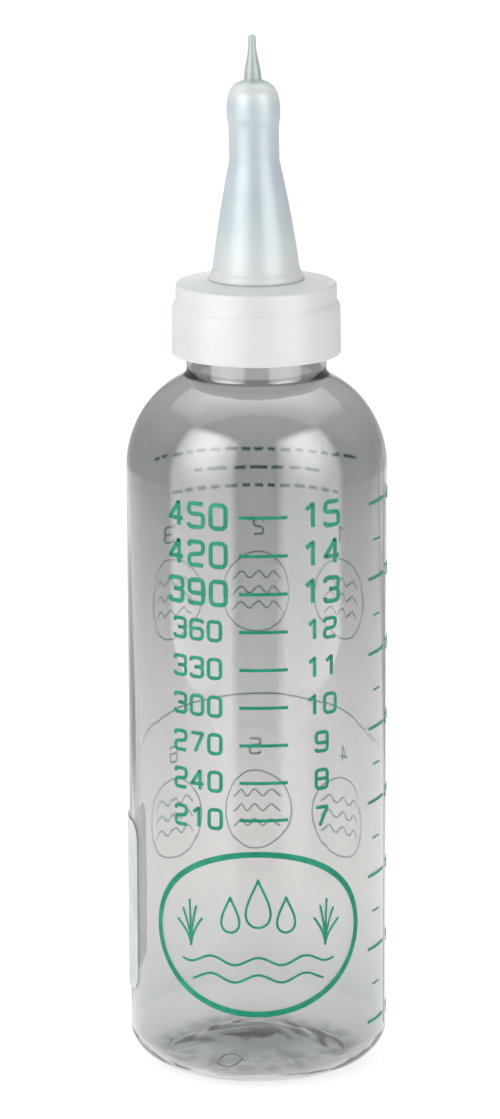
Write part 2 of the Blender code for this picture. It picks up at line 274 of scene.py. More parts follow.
def makeHandlingGroup():
    # thin scratches that run mostly round the piece, and smudges left by hands
    sizes = {"Scratch Size": 320.0, "Smudge Size": 38.0}
    group, given, out = newGroup("handlingMarks", sizes, ("Scratch", "Smudge"))
    drawn = stretchNode(group, given["Place"], (0.12, 0.12, 1.0), (0.35, 0.2, 0.0))
    lines = noiseNode(group, drawn, given["Scratch Size"], Detail=6.0, Roughness=0.75)
    smudge = noiseNode(group, given["Place"], given["Smudge Size"], Detail=5.0, Distortion=0.6)
    smudge = rampNode(group, smudge, 0.42, 0.68)
    setInputs(group, out, Scratch=rampNode(group, lines, 0.6, 0.72), Smudge=smudge)
    return group


mouldedGroup = makeMouldedGroup()
handlingGroup = makeHandlingGroup()


def useGroup(tree, group, place, **sizes):
    # the group's masks by name
    return dict(addNode(tree, "ShaderNodeGroup", {"node_tree": group}, Place=place, **sizes).outputs.items())


def newMaterial(name):
    # also the material's node tree, its shader and the place on the piece
    material = bpy.data.materials.new(name)
    material.use_nodes = True
    tree = material.node_tree
    place = addNode(tree, "ShaderNodeTexCoord").outputs["Object"]
    return material, tree, tree.nodes["Principled BSDF"], place


# Materials. A pair of heights or radii is where a change starts and where it is complete, "rougher" is what
# each mask adds to the roughness, "bump" is strength and depth, and "grain", "cloud" and "smudge" are scales.

clearLook = {
    "tintLow": (0.73, 0.725, 0.715, 1.0),
    "tintHighShaded": (0.515, 0.525, 0.515, 1.0),  # painted shade: darker towards the shoulder, where the wall also grows thicker
    "tintNeck": (0.61, 0.62, 0.61, 1.0),
    "tintBase": (0.64, 0.66, 0.655, 1.0),
    "tintSmoke": (0.29, 0.31, 0.31, 1.0),  # the middle of the base and the streaks round it
    "highHeights": (48 * mm, 157 * mm),
    "neckHeights": (160 * mm, 172 * mm),
    "baseHeights": (38 * mm, 12 * mm),
    "footHeights": (9.5 * mm, 6.5 * mm),
    "footRadii": (24 * mm, 28 * mm),  # the foot, low down and outside these radii, keeps the wall's tint
    "middleRadii": (17 * mm, 10 * mm),
    "middle": 0.7,
    "streakRadii": (28 * mm, 25 * mm),
    "streaks": 0.75,
    "streakSize": 230.0,
    "streakStretch": (0.35, 1.0, 1.0),
    "streakRange": (0.46, 0.60),  # of the noise
    "waveSize": 70.0,
    "waveStretch": (1.0, 1.0, 0.06),
    "waveTint": 0.35,
    "bump": (0.25, 0.6 * mm),
    "roughness": 0.03,
    "rougher": {"Smudge": 0.025, "Scratch": 0.06},
    "ior": 1.57,
    "shadow": (0.80, 0.80, 0.80, 1.0),
    "absorption": (0.30, 0.42, 0.38, 1.0),
    "density": 25.0,
}


def baseSmoke(tree, flat, away):
    # the stronger of a round middle and of flowing streaks, which end short of the wall
    drawn = stretchNode(tree, flat, clearLook["streakStretch"])
    flow = noiseNode(tree, drawn, clearLook["streakSize"], Detail=4.0, Distortion=2.2)
    middle = rampNode(tree, away, *clearLook["middleRadii"], 0.0, clearLook["middle"])
    reach = rampNode(tree, away, *clearLook["streakRadii"], 0.0, clearLook["streaks"])
    streaks = timesNode(tree, rampNode(tree, flow, *clearLook["streakRange"]), reach)
    return mathNode(tree, "MAXIMUM", middle, streaks)


def bottleTint(tree, place, waves):
    # darker towards the shoulder, unevenly, partly painted shade and partly the thicker wall, then the neck's
    # tint, and a smoky base inside the foot
    flat = vectorNode(tree, "MULTIPLY", place, (1.0, 1.0, 0.0)).outputs[0]
    away, height = lengthNode(tree, flat), axesNode(tree, place)["Z"]
    uneven = timesNode(tree, mathNode(tree, "SUBTRACT", waves, 0.5), clearLook["waveTint"])
    upper = mathNode(tree, "ADD", rampNode(tree, height, *clearLook["highHeights"]), uneven, True)
    tint = mixColour(tree, upper, clearLook["tintLow"], clearLook["tintHighShaded"])
    tint = mixColour(tree, rampNode(tree, height, *clearLook["neckHeights"]), tint, clearLook["tintNeck"])
    base = mixColour(tree, baseSmoke(tree, flat, away), clearLook["tintBase"], clearLook["tintSmoke"])
    outside = rampNode(tree, away, *clearLook["footRadii"])
    foot = timesNode(tree, outside, rampNode(tree, height, *clearLook["footHeights"]))
    low = rampNode(tree, height, *clearLook["baseHeights"])
    return mixColour(tree, timesNode(tree, low, mathNode(tree, "SUBTRACT", 1.0, foot)), tint, base)


def makeClearPlastic():
    material, tree, shader, place = newMaterial("clearBottlePlastic")
    drawn = stretchNode(tree, place, clearLook["waveStretch"])
    waves = noiseNode(tree, drawn, clearLook["waveSize"], Detail=3.0)
    marks = useGroup(tree, handlingGroup, place)
    setInputs(
        tree, shader, Base_Color=bottleTint(tree, place, waves),
        Roughness=roughNode(tree, clearLook["roughness"], marks, clearLook["rougher"]),
        Normal=bumpNode(tree, waves, *clearLook["bump"]), Transmission_Weight=1.0, IOR=clearLook["ior"],
    )
    # lamps shine through the thin wall, so that it doesn't throw the shadow of a solid
    clear = addNode(tree, "ShaderNodeBsdfTransparent", None, Color=clearLook["shadow"]).outputs["BSDF"]
    isShadow = addNode(tree, "ShaderNodeLightPath").outputs["Is Shadow Ray"]
    mix = addNode(tree, "ShaderNodeMixShader", None, _0=isShadow, _1=shader.outputs["BSDF"], _2=clear)
    volume = addNode(
        tree, "ShaderNodeVolumeAbsorption", None, Color=clearLook["absorption"], Density=clearLook["density"]
    )
    output = tree.nodes["Material Output"]
    setInputs(tree, output, Surface=mix.outputs["Shader"], Volume=volume.outputs["Volume"])
    return material


capLook = {
    "main": (0.72, 0.735, 0.73, 1.0),
    "cloudy": (0.69, 0.71, 0.705, 1.0),
    "bands": (((198.8 * mm, 199.4 * mm), (0.62, 0.64, 0.635, 1.0)),),  # painted shade on the top of the cap, round the teat's collar
    "grain": 1400.0,
    "cloud": 45.0,
    "smudge": 38.0,
    "bump": (0.12, 0.1 * mm),
    "roughness": 0.42,
    "rougher": {"Smudge": 0.10, "Scratch": 0.12},
    "shader": {
        "Specular_IOR_Level": 0.4,
        "Subsurface_Weight": 0.35,
        "Subsurface_Radius": (1.2 * mm, 1.2 * mm, 1.0 * mm),
        "Subsurface_Scale": 1.0,
    },
}

siliconeLook = {
    "main": (0.67, 0.75, 0.785, 1.0),
    "cloudy": (0.60, 0.695, 0.735, 1.0),
    "bands": (
        ((217.5 * mm, 203.0 * mm), (0.83, 0.89, 0.93, 1.0)),  # foot, seal and valve are whiter
        ((242.5 * mm, 247.2 * mm), (0.80, 0.85, 0.86, 1.0)),  # the top of the bulb is whiter too: a painted highlight
        ((247.5 * mm, 250.0 * mm), (0.47, 0.55, 0.535, 1.0)),  # the thin tip is darker
    ),
    "grain": 700.0,
    "cloud": 110.0,
    "smudge": 90.0,
    "bump": (0.10, 0.2 * mm),
    "roughness": 0.31,
    "rougher": {"Smudge": 0.04},
    "shader": {
        "Subsurface_Weight": 0.8,
        "Subsurface_Radius": (2.0 * mm, 2.6 * mm, 3.0 * mm),
        "Subsurface_Scale": 1.0,
        "Transmission_Weight": 0.18,
        "IOR": 1.42,
        "Specular_IOR_Level": 0.6,
    },
}

plateLook = {
    "main": (0.76, 0.78, 0.78, 1.0),
    "cloudy": (0.70, 0.73, 0.74, 1.0),
    "grain": 1100.0,
    "cloud": 80.0,
    "bump": (0.12, 0.1 * mm),
    "roughness": 0.34,
    "rougher": {"Cloud": 0.12},
    "shader": {},
}

paperLook = {
    "main": (0.60, 0.63, 0.635, 1.0),
    "cloudy": (0.49, 0.53, 0.54, 1.0),
    "grain": 2600.0,
    "cloud": 140.0,
    "bump": (0.35, 0.08 * mm),
    "roughness": 0.5,
    "rougher": {"Cloud": 0.15},
    "shader": {
        "Subsurface_Weight": 0.7,
        "Subsurface_Radius": (1.0 * mm, 1.0 * mm, 1.0 * mm),
        "Subsurface_Scale": 1.0,
    },
}


def makeMoulded(name, look):
    # a cloudy colour with bands of other colours by height, some of them painted shade or painted highlight,
    # a fine grain, and masks that take off some gloss
    material, tree, shader, place = newMaterial(name)
    masks = useGroup(tree, mouldedGroup, place, Grain_Size=look["grain"], Cloud_Size=look["cloud"])
    if "smudge" in look:
        masks.update(useGroup(tree, handlingGroup, place, Smudge_Size=look["smudge"]))
    colour = mixColour(tree, masks["Cloud"], look["main"], look["cloudy"])
    for heights, other in look.get("bands", ()):
        colour = mixColour(tree, rampNode(tree, axesNode(tree, place)["Z"], *heights), colour, other)
    setInputs(
        tree, shader, Base_Color=colour, Normal=bumpNode(tree, masks["Height"], *look["bump"]),
        Roughness=roughNode(tree, look["roughness"], masks, look["rougher"]), **look["shader"],
    )
    return material


inkLook = {
    "green": (0.0, 0.215, 0.125, 1.0),
    "thin": (0.008, 0.28, 0.18, 1.0),
    "behind": (0.01, 0.46, 0.29, 1.0),  # brighter than the front ink, painted light: the lines on the far side are seen through two walls
    "behindThin": (0.03, 0.54, 0.36, 1.0),
    "smudge": 260.0,
    "roughness": 0.42,
    "rougher": {"Scratch": 0.2},
    "gloss": 0.2,
}


def makeInk(name, full, thin):
    # screen print, which covers slightly unevenly
    material, tree, shader, place = newMaterial(name)
    marks = useGroup(tree, handlingGroup, place, Smudge_Size=inkLook["smudge"])
    setInputs(
        tree, shader, Base_Color=mixColour(tree, marks["Smudge"], full, thin),
        Roughness=roughNode(tree, inkLook["roughness"], marks, inkLook["rougher"]),
        Specular_IOR_Level=inkLook["gloss"],
    )
    return material


clearPlastic = makeClearPlastic()
whitePlastic = makeMoulded("whiteCapPlastic", capLook)
milkySilicone = makeMoulded("milkySilicone", siliconeLook)
platePlastic = makeMoulded("platePlastic", plateLook)
labelPaper = makeMoulded("labelPaper", paperLook)
greenInk = makeInk("greenInk", inkLook["green"], inkLook["thin"])
# the far side's print is a brighter copy of the green ink: painted light for lines seen through two walls
brightenedBackInk = makeInk("greenInkBehind", inkLook["behind"], inkLook["behindThin"])
print("materials:", len(bpy.data.materials))


# Bottle

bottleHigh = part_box("bottle")[1]
bodyRadius = bottleHigh.x
rimHeight = bottleHigh.z

bottle = {
    "columns": 208,
    "wall": 0.9 * mm,
    "baseWall": 0.9 * mm,
    "innerRise": 5.8 * mm,  # how far the inside of the base rises
    "heelWidth": 9.0 * mm,
    "heelHeight": 8.0 * mm,
    "heelPower": 1.7,
    "innerHeelRise": 0.2 * mm,
    "ringWidth": 1.8 * mm,  # flat ring that it stands on
    "pushUp": 6.0 * mm,
    "poleRadius": 0.15 * mm,  # of the first ring of points round a pole
    "shoulderStart": 153.0 * mm,
    "shoulderRadius": 26.4 * mm,
    "neckRadius": 17.4 * mm,
    "neckWall": 2.0 * mm,
    "neckFillet": 1.5 * mm,
    "innerFillet": 2.8 * mm,
    "rimRound": 0.6 * mm,
    "unevenWall": 0.07 * mm,  # how much the blown wall varies in thickness
    "wavePitches": (41 * mm, 63 * mm, 17 * mm),
    "waveTop": 12 * mm,  # under the rim, where the waves end
    "waveFades": (20 * mm, 15 * mm),  # how far they fade out above and below
    "baseRipple": 0.12 * mm,
    "ripplePitches": (0.95 * mm, 2.3 * mm, 2.9 * mm),  # of its rings, spokes and swirl
    "rippleEdge": 3 * mm,  # from the wall's outside, where it ends
    "gateRadius": 5.5 * mm,  # the thick middle of the base
    "gateHeight": 0.5 * mm,
    "markPlace": (-7.2 * mm, -15.4 * mm),  # round mould mark under the base
    "markRadius": 2.9 * mm,
    "markHeight": 0.55 * mm,
    "markLine": 0.38 * mm,
}

neckThread = {
    "start": 183.4 * mm,  # height of its middle where it starts
    "pitch": 4.2333 * mm,
    "crest": 1.2 * mm,
    "rootWidth": 2.2 * mm,
    "crestWidth": 1.0 * mm,
    "firstTurn": 0.0,
    "lastTurn": 1.5,
    "fade": 0.06,
}


def baseRipple(radius, angle):
    # rings that wander with the angle, spokes and a swirl, all fading out at the wall and at the centre
    ringPitch, spokePitch, swirlPitch = bottle["ripplePitches"]
    share = np.clip(radius / (bodyRadius - bottle["rippleEdge"]), 0, 1)
    window = np.sin(np.pi * share) ** 0.6
    wander = 1.7 * np.sin(2 * angle + 0.6) + 1.1 * np.sin(3 * angle + 2.1) + 0.6 * np.sin(5 * angle)
    rings = np.sin(radius / ringPitch + wander)
    spokes = np.sin(6 * angle + 2.4 * np.sin(2 * angle + 0.9) + radius / spokePitch)
    swirl = np.sin(radius / swirlPitch + 2 * angle + 1.3 * np.sin(angle))
    return bottle["baseRipple"] * window * (0.8 * rings + 0.6 * spokes + 0.9 * swirl)


def gateLump(radius):
    # a soft round swelling, height * exp(-(radius / width)^4)
    return bottle["gateHeight"] * np.exp(-((radius / bottle["gateRadius"]) ** 4))


def mouldMark(radius, angle):
    # a raised ring round its own centre, height * exp(-((distance - ring radius) / line width)^2)
    across = radius * np.cos(angle) - bottle["markPlace"][0]
    along = radius * np.sin(angle) - bottle["markPlace"][1]
    away = (np.hypot(across, along) - bottle["markRadius"]) / bottle["markLine"]
    return bottle["markHeight"] * np.exp(-(away**2))


def wallWave(height, angle):
    # slow waves round and along the wall, as a parison leaves them when it is blown
    first, second, third = (height / pitch for pitch in bottle["wavePitches"])
    wave = np.sin(3 * angle + 0.4 + first) + 0.6 * np.sin(7 * angle + 1.9 - second)
    return bottle["unevenWall"] * (wave + 0.35 * np.sin(13 * angle + third))


def neckCorner(shoulderRadius, neckRadius, fillet):
    # centre of the fillet that touches the shoulder's arc and the neck, and the angle where it meets the arc
    across = neckRadius + fillet - (bodyRadius - bottle["shoulderRadius"])
    reach = shoulderRadius + fillet
    height = bottle["shoulderStart"] + math.sqrt(reach**2 - across**2)
    return (neckRadius + fillet, height), math.degrees(math.acos(across / reach))


def makeBottle():
    wall, heel, power = bottle["wall"], bottle["heelHeight"], bottle["heelPower"]
    ringOuter = bodyRadius - bottle["heelWidth"]
    ringInner = ringOuter - bottle["ringWidth"]
    ringMiddle = (ringOuter + ringInner) / 2
    innerHeel = heel + bottle["innerHeelRise"]
    innerRadius = bodyRadius - wall
    shoulder = (bodyRadius - bottle["shoulderRadius"], bottle["shoulderStart"])
    innerShoulder, innerBase = bottle["shoulderRadius"] - wall, bottle["baseWall"]
    neckRadius, rimRound = bottle["neckRadius"], bottle["rimRound"]
    boreRadius = neckRadius - bottle["neckWall"]
    outerCorner, outerTurn = neckCorner(bottle["shoulderRadius"], neckRadius, bottle["neckFillet"])
    innerCorner, innerTurn = neckCorner(innerShoulder, boreRadius, bottle["innerFillet"])
    rimCentre = rimHeight - rimRound
    threadFoot = neckThread["start"] - neckThread["rootWidth"]

    baseRadius = np.linspace(bottle["poleRadius"], ringMiddle, 86)
    inside = joinPaths(
        asPath(baseRadius, innerBase + bottle["innerRise"] * (1 - (baseRadius / ringMiddle) ** 2)),
        ovalPath((ringMiddle, innerHeel), innerRadius - ringMiddle, innerBase - innerHeel, power, 30),
        linePath((innerRadius, innerHeel), (innerRadius, shoulder[1]), 26),
        arcPath(shoulder, innerShoulder, 0, innerTurn, 36),
        arcPath(innerCorner, bottle["innerFillet"], 180 + innerTurn, 180, 9),
        linePath((boreRadius, innerCorner[1]), (boreRadius, rimCentre), 10),
    )
    baseRadius = np.linspace(ringInner, bottle["poleRadius"], 86)
    profile = joinPaths(
        inside,
        arcPath((boreRadius + rimRound, rimCentre), rimRound, 180, 90, 5),
        arcPath((neckRadius - rimRound, rimCentre), rimRound, 90, 0, 5),
        linePath((neckRadius, rimCentre), (neckRadius, threadFoot), 76),
        linePath((neckRadius, threadFoot), (neckRadius, outerCorner[1]), 6),
        arcPath(outerCorner, bottle["neckFillet"], 180, 180 + outerTurn, 7),
        arcPath(shoulder, bottle["shoulderRadius"], outerTurn, 0, 38),
        linePath((bodyRadius, shoulder[1]), (bodyRadius, heel), 12),
        ovalPath((ringOuter, heel), bottle["heelWidth"], -heel, power, 26)[::-1],
        asPath(baseRadius, bottle["pushUp"] * (1 - (baseRadius / ringInner) ** 2)),
    )
    isInside = (np.arange(len(profile)) < len(inside))[:, None]

    radius, height, angle = spreadProfile(profile, bottle["columns"])
    onNeck = ~isInside & (height > threadFoot) & (height < rimCentre)
    onInnerBase = isInside & (height < innerHeel)
    onOuterBase = ~isInside & (radius < ringInner) & (height < bottle["pushUp"] + wall)
    fadeTop = np.clip((rimHeight - bottle["waveTop"] - height) / bottle["waveFades"][0], 0, 1)
    fadeLow = np.clip((height - innerHeel) / bottle["waveFades"][1], 0, 1)
    wave = wallWave(height, angle) * fadeTop * fadeLow
    thread = threadHeight(angle, height, neckThread)
    raised = gateLump(radius) + baseRipple(radius, angle)
    radius = radius + np.where(isInside, wave, 0) + np.where(onNeck, thread, 0)
    height = height + np.where(onInnerBase, raised, 0) - np.where(onOuterBase, mouldMark(radius, angle), 0)
    points, faces = turnedFaces(radius, height)
    piece = newPiece("bottle_shell", points, faces, clearPlastic, "bottle_body")
    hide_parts("bottle")
    print("bottle:", sum(len(face) for face in faces), "faces")


makeBottle()


# Screw cap

capLow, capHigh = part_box("screw_cap")
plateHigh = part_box("vent_plate")[1]

cap = {
    "columns": 192,
    "flare": 0.2 * mm,
    "skirtWall": 1.85 * mm,
    "pocketWall": 1.75 * mm,
    "pocketGap": 0.3 * mm,
    "pocketCorner": 0.2 * mm,
    "skirtDepth": 15.4 * mm,
    "topThickness": 2.2 * mm,
    "holeRadius": 11.3 * mm,
    "ledgeStep": 0.22 * mm,
    "ledgeHeight": 0.35 * mm,
    "chamferHeight": 0.8 * mm,
    "upperTier": 4.4 * mm,
    "topRound": 0.75 * mm,
    "topTurn": 84,  # degrees, where that rounding starts, because the top falls a little to the outside
    "slopeTop": (0.04 * mm, 0.12 * mm),  # how far each soft corner reaches across and up or down
    "slopeFoot": (0.05 * mm, 0.06 * mm),
    "ledgeFoot": (0.04 * mm, 0.05 * mm),
    "edgeRound": 0.35 * mm,
    "lead": 0.7 * mm,
}

capThread = dict(
    neckThread,
    start=neckThread["start"] - 1.76 * mm,  # under the neck's thread, which it pulls up against
    firstTurn=0.52,
    lastTurn=1.85,
)


def makeCap():
    bottom, holeTop, lowerRadius = capLow.z, capHigh.z, capHigh.x
    skirtOuter = lowerRadius - cap["flare"]
    skirtInner = skirtOuter - cap["skirtWall"]
    pocketRadius = plateHigh.x + cap["pocketGap"]
    upperRadius = pocketRadius + cap["pocketWall"]
    inside = bottom + cap["skirtDepth"]
    topEdge = inside + cap["topThickness"]
    slopeTop = topEdge - cap["upperTier"]
    slopeFoot = slopeTop - cap["chamferHeight"]
    ledgeFoot = slopeFoot - cap["ledgeHeight"]
    ledgeRadius = skirtOuter - cap["ledgeStep"]
    edge, hole, corner = cap["edgeRound"], cap["holeRadius"], cap["pocketCorner"]
    topAcross, topHeight = upperRadius - cap["topRound"], topEdge - cap["topRound"]
    pocketFloor = rimHeight - bottle["rimRound"]
    softTop, softFoot, softLedge = cap["slopeTop"], cap["slopeFoot"], cap["ledgeFoot"]
    profile = joinPaths(
        arcPath((hole + edge, inside + edge), edge, 270, 180, 6),
        arcPath((hole + edge, holeTop - edge), edge, 180, 90, 6),
        linePath((hole + edge, holeTop), (topAcross, topEdge), 12),
        arcPath((topAcross, topHeight), cap["topRound"], cap["topTurn"], 0, 9),
        linePath((upperRadius, topHeight), (upperRadius, slopeTop + softTop[1]), 6),
        (upperRadius + softTop[0], slopeTop),
        (ledgeRadius - softFoot[0], slopeFoot + softFoot[0]),
        (ledgeRadius, slopeFoot - softFoot[1]),
        (ledgeRadius, ledgeFoot + softLedge[1]),
        (ledgeRadius + softLedge[0], ledgeFoot),
        (skirtOuter - softLedge[0], ledgeFoot - cap["ledgeStep"] + softLedge[0]),
        linePath((skirtOuter, ledgeFoot - cap["ledgeStep"]), (lowerRadius, bottom + edge), 14),
        arcPath((lowerRadius - edge, bottom + edge), edge, 0, -90, 6),
        (skirtInner + cap["lead"], bottom),
        linePath(
            (skirtInner, bottom + cap["lead"]), (skirtInner, pocketFloor - (skirtInner - pocketRadius)), 60
        ),
        (pocketRadius, pocketFloor),
        (pocketRadius, inside - corner),
        (pocketRadius - corner, inside),
    )
    radius, height, angle = spreadProfile(profile, cap["columns"])
    onSkirt = (np.abs(radius - skirtInner) < samePlace) & (height > bottom + cap["lead"] / 2)
    radius = radius - np.where(onSkirt, threadHeight(angle, height, capThread), 0)
    points, faces = turnedFaces(radius, height, loop=True)
    piece = newPiece("cap_shell", points, faces, whitePlastic, "cap", sharpAngle=32)
    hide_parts("screw_cap")
    print("cap:", sum(len(face) for face in faces), "faces")


makeCap()


# Teat

teatLow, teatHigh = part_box("teat")

teat = {
    "columns": 128,
    "wall": 1.7 * mm,
    "flange": 1.8 * mm,
    "grooveRadius": 11.0 * mm,
    "grooveTop": 5.25 * mm,  # above the flange's lower face
    "grooveCorner": 0.1 * mm,
    "collarRadius": 11.9 * mm,
    "collarHeight": 1.1 * mm,
    "collarSlope": 1.7 * mm,
    "coneRadius": 10.75 * mm,
    "coneLength": 26.6 * mm,
    "coneCrown": 0.3 * mm,
    "waistRadius": 6.18 * mm,
    "waistLength": 8.0 * mm,
    "waistGap": 1.2 * mm,  # from the cone's top to the first ring of points above it
    "bulbRadius": 6.6 * mm,
    "bulbSwell": 3.4 * mm,
    "bulbCrown": 8.5 * mm,
    "bulbPower": 2.9,
    "tipFoot": 2.15 * mm,
    "tipGap": 0.2 * mm,  # between the tip's foot and the bulb, for the fillet
    "tipFillet": 0.3 * mm,
    "tipFilletRise": 0.25 * mm,
    "tipRadius": 0.95 * mm,
    "tipTaper": 8.8 * mm,
    "edgeRound": 0.35 * mm,
    "footRound": 0.12 * mm,  # of the collar's lower edge, which lies on the cap
    "lean": -0.9 * mm,  # the soft teat doesn't stand quite straight
    "leanPower": 1.25,
}


def makeTeat():
    base, tipTop = teatLow.z, teatHigh.z
    edge, footRound, corner = teat["edgeRound"], teat["footRound"], teat["grooveCorner"]
    groove, collarRadius, coneRadius = teat["grooveRadius"], teat["collarRadius"], teat["coneRadius"]
    waist, bulb, crownHeight = teat["waistRadius"], teat["bulbRadius"], teat["bulbCrown"]
    tip, tipFoot, wall = teat["tipRadius"], teat["tipFoot"], teat["wall"]
    mouth, innerWaist, innerBulb = groove - wall, waist - wall, bulb - wall
    flangeTop = base + teat["flange"]
    grooveTop = base + teat["grooveTop"]
    collarTop = grooveTop + teat["collarHeight"]
    coneFoot = collarTop + teat["collarSlope"]
    coneTop = coneFoot + teat["coneLength"]
    waistTop = coneTop + teat["waistLength"]
    bulbFoot = waistTop + teat["bulbSwell"]
    bulbTop = bulbFoot + crownHeight
    taperTop = bulbTop + teat["tipTaper"]
    collar, flangeEdge = collarRadius - edge, teatHigh.x - edge
    filletCentre = (tipFoot + teat["tipFillet"], bulbTop + teat["tipFilletRise"])
    crown = ovalPath((0, bulbFoot), bulb, crownHeight, teat["bulbPower"], 44)
    innerCrown = ovalPath((0, bulbFoot), innerBulb, crownHeight - wall, teat["bulbPower"], 24)
    profile = joinPaths(
        ovalPath((0, tipTop - tip), tip, tip, 2, 9)[1:],
        linePath((tip, tipTop - tip), (tip, taperTop), 5),
        easedPath((tip, taperTop), (tipFoot, bulbTop + teat["tipGap"]), 16),
        arcPath(filletCentre, teat["tipFillet"], 190, 262, 5),
        crown[crown[:, 0] > tipFoot + teat["tipGap"]],
        easedPath((bulb, bulbFoot), (waist, waistTop), 10),
        linePath((waist, waistTop), (waist, coneTop + teat["waistGap"]), 8),
        crownedPath((waist, coneTop), (coneRadius, coneFoot), teat["coneCrown"], 40),
        easedPath((coneRadius, coneFoot), (collar, collarTop), 8),
        arcPath((collar, collarTop - edge), edge, 90, 0, 6),
        arcPath((collarRadius - footRound, grooveTop + footRound), footRound, 0, -90, 5),
        (groove + corner, grooveTop),
        (groove, grooveTop - corner),
        (groove, flangeTop + corner),
        (groove + corner, flangeTop),
        arcPath((flangeEdge, flangeTop - edge), edge, 90, 0, 6),
        arcPath((flangeEdge, base + edge), edge, 0, -90, 6),
        arcPath((mouth + edge, base + edge), edge, 270, 180, 6),
        linePath((mouth, base + edge), (mouth, collarTop), 5),
        crownedPath((mouth, coneFoot), (innerWaist, coneTop), teat["coneCrown"], 24),
        easedPath((innerWaist, waistTop), (innerBulb, bulbFoot), 8),
        innerCrown[::-1][:-1],
    )
    radius, height, angle = spreadProfile(profile, teat["columns"])
    share = np.clip((height - collarTop) / (tipTop - collarTop), 0, 1)
    points, faces = turnedFaces(radius, height, lean=teat["lean"] * share ** teat["leanPower"])
    piece = newPiece("teat_shell", points, faces, milkySilicone, "closure")
    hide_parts("teat")
    print("teat:", sum(len(face) for face in faces), "faces")


makeTeat()


# Vent plate, seal and air valve keep their CAD shapes

def dress(node, material):
    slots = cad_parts[node].material_slots
    if slots:
        for slot in slots:
            slot.material = material
    else:
        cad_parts[node].data.materials.append(material)


dress("vent_plate", platePlastic)
dress("rim_seal", milkySilicone)
dress("air_valve", milkySilicone)
print("plate, seal and valve: dressed")


# Label

labelLow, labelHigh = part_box("side_label")

label = {
    "gap": 0.15 * mm,
    "thickness": 0.2 * mm,
    "corner": 4.5 * mm,
    "trimSide": 2.1 * mm,
    "trimFoot": 3.4 * mm,
    "rows": 64,
    "cornerRows": 10,
    "columns": 40,
}


def makeLabel():
    # A rounded oblong: at each height the half width is half - corner + sqrt(corner^2 - past^2), where past
    # is how far the height reaches into the corner. The grid (share across, height) is laid round the wall.
    halfWidth = labelHigh.y - label["trimSide"]
    foot, corner = labelLow.z + label["trimFoot"], label["corner"]
    middle, halfHeight = (foot + labelHigh.z) / 2, (labelHigh.z - foot) / 2
    turn = np.pi / 2 * (1 - np.linspace(0, 1, label["cornerRows"]))
    upper = halfHeight - corner * (1 - np.sin(turn))
    straight = np.linspace(upper[-1], -upper[-1], label["rows"])[1:-1]
    rows = np.concatenate([upper, straight, -upper[::-1]])
    past = np.clip(np.abs(rows) - (halfHeight - corner), 0, corner)
    half = halfWidth - corner + np.sqrt(corner**2 - past**2)
    arc = np.linspace(-1, 1, label["columns"])[None, :] * half[:, None] / bodyRadius
    height = np.repeat((middle + rows)[:, None], label["columns"], axis=1)
    inner = bodyRadius + label["gap"]
    points = np.concatenate([
        np.stack([-radius * np.cos(arc), radius * np.sin(arc), height], axis=2).reshape(-1, 3)
        for radius in (inner + label["thickness"], inner)
    ])
    count = arc.size
    grid = np.arange(count).reshape(arc.shape)
    front = np.stack([grid[:-1, :-1], grid[:-1, 1:], grid[1:, 1:], grid[1:, :-1]], axis=2).reshape(-1, 4)
    border = np.concatenate([grid[0], grid[1:, -1], grid[-1, -2::-1], grid[-2:0:-1, 0]])
    following = np.roll(border, -1)
    side = np.stack([border, border + count, following + count, following], axis=1)
    faces = [front, front[:, ::-1] + count, side]
    piece = newPiece("label_sheet", points, faces, labelPaper, "bottle_body")
    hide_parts("side_label")
    print("label:", sum(len(face) for face in faces), "faces")


makeLabel()


# Print

ink = {
    "clearance": 0.015 * mm,
    "thickness": 0.04 * mm,
    "tick": 0.8 * mm,
    "spacing": 1.2 * mm,  # of the points of a straight line
    "digitWidth": 0.66,  # of its height
    "digitGap": 0.34,
    "cornerPoints": 6,
}

# Strokes of plain figures in a box 1 wide and 1 high: key points, whether the stroke is closed, and how round
# its corners are
digitStrokes = {
    "0": [([(0, 0), (1, 0), (1, 1), (0, 1)], True, 0.24)],
    "1": [([(0.15, 0.76), (0.62, 1), (0.62, 0)], False, 0.04)],
    "2": [([(0, 0.80), (0, 1), (1, 1), (1, 0.52), (0, 0.44), (0, 0), (1, 0)], False, 0.18)],
    "3": [
        ([(0, 0.82), (0, 1), (1, 1), (1, 0.52), (0.3, 0.52)], False, 0.18),
        ([(0.3, 0.52), (1, 0.52), (1, 0), (0, 0), (0, 0.18)], False, 0.18),
    ],
    "4": [([(0.74, 0), (0.74, 1), (0, 0.30), (1.05, 0.30)], False, 0.03)],
    "5": [([(1, 1), (0, 1), (0, 0.56), (1, 0.56), (1, 0), (0, 0), (0, 0.17)], False, 0.18)],
    "6": [([(1, 0.84), (1, 1), (0, 1), (0, 0), (1, 0), (1, 0.56), (1 / 33, 0.56)], False, 0.20)],
    "7": [([(0, 1), (1, 1), (0.32, 0)], False, 0.08)],
    "8": [([(0, 0), (1, 0), (1, 1), (0, 1)], True, 0.22), ([(0, 0.52), (1, 0.52)], False, 0.0)],
    "9": [([(0, 0.16), (0, 0), (1, 0), (1, 1), (0, 1), (0, 0.44), (32 / 33, 0.44)], False, 0.20)],
}


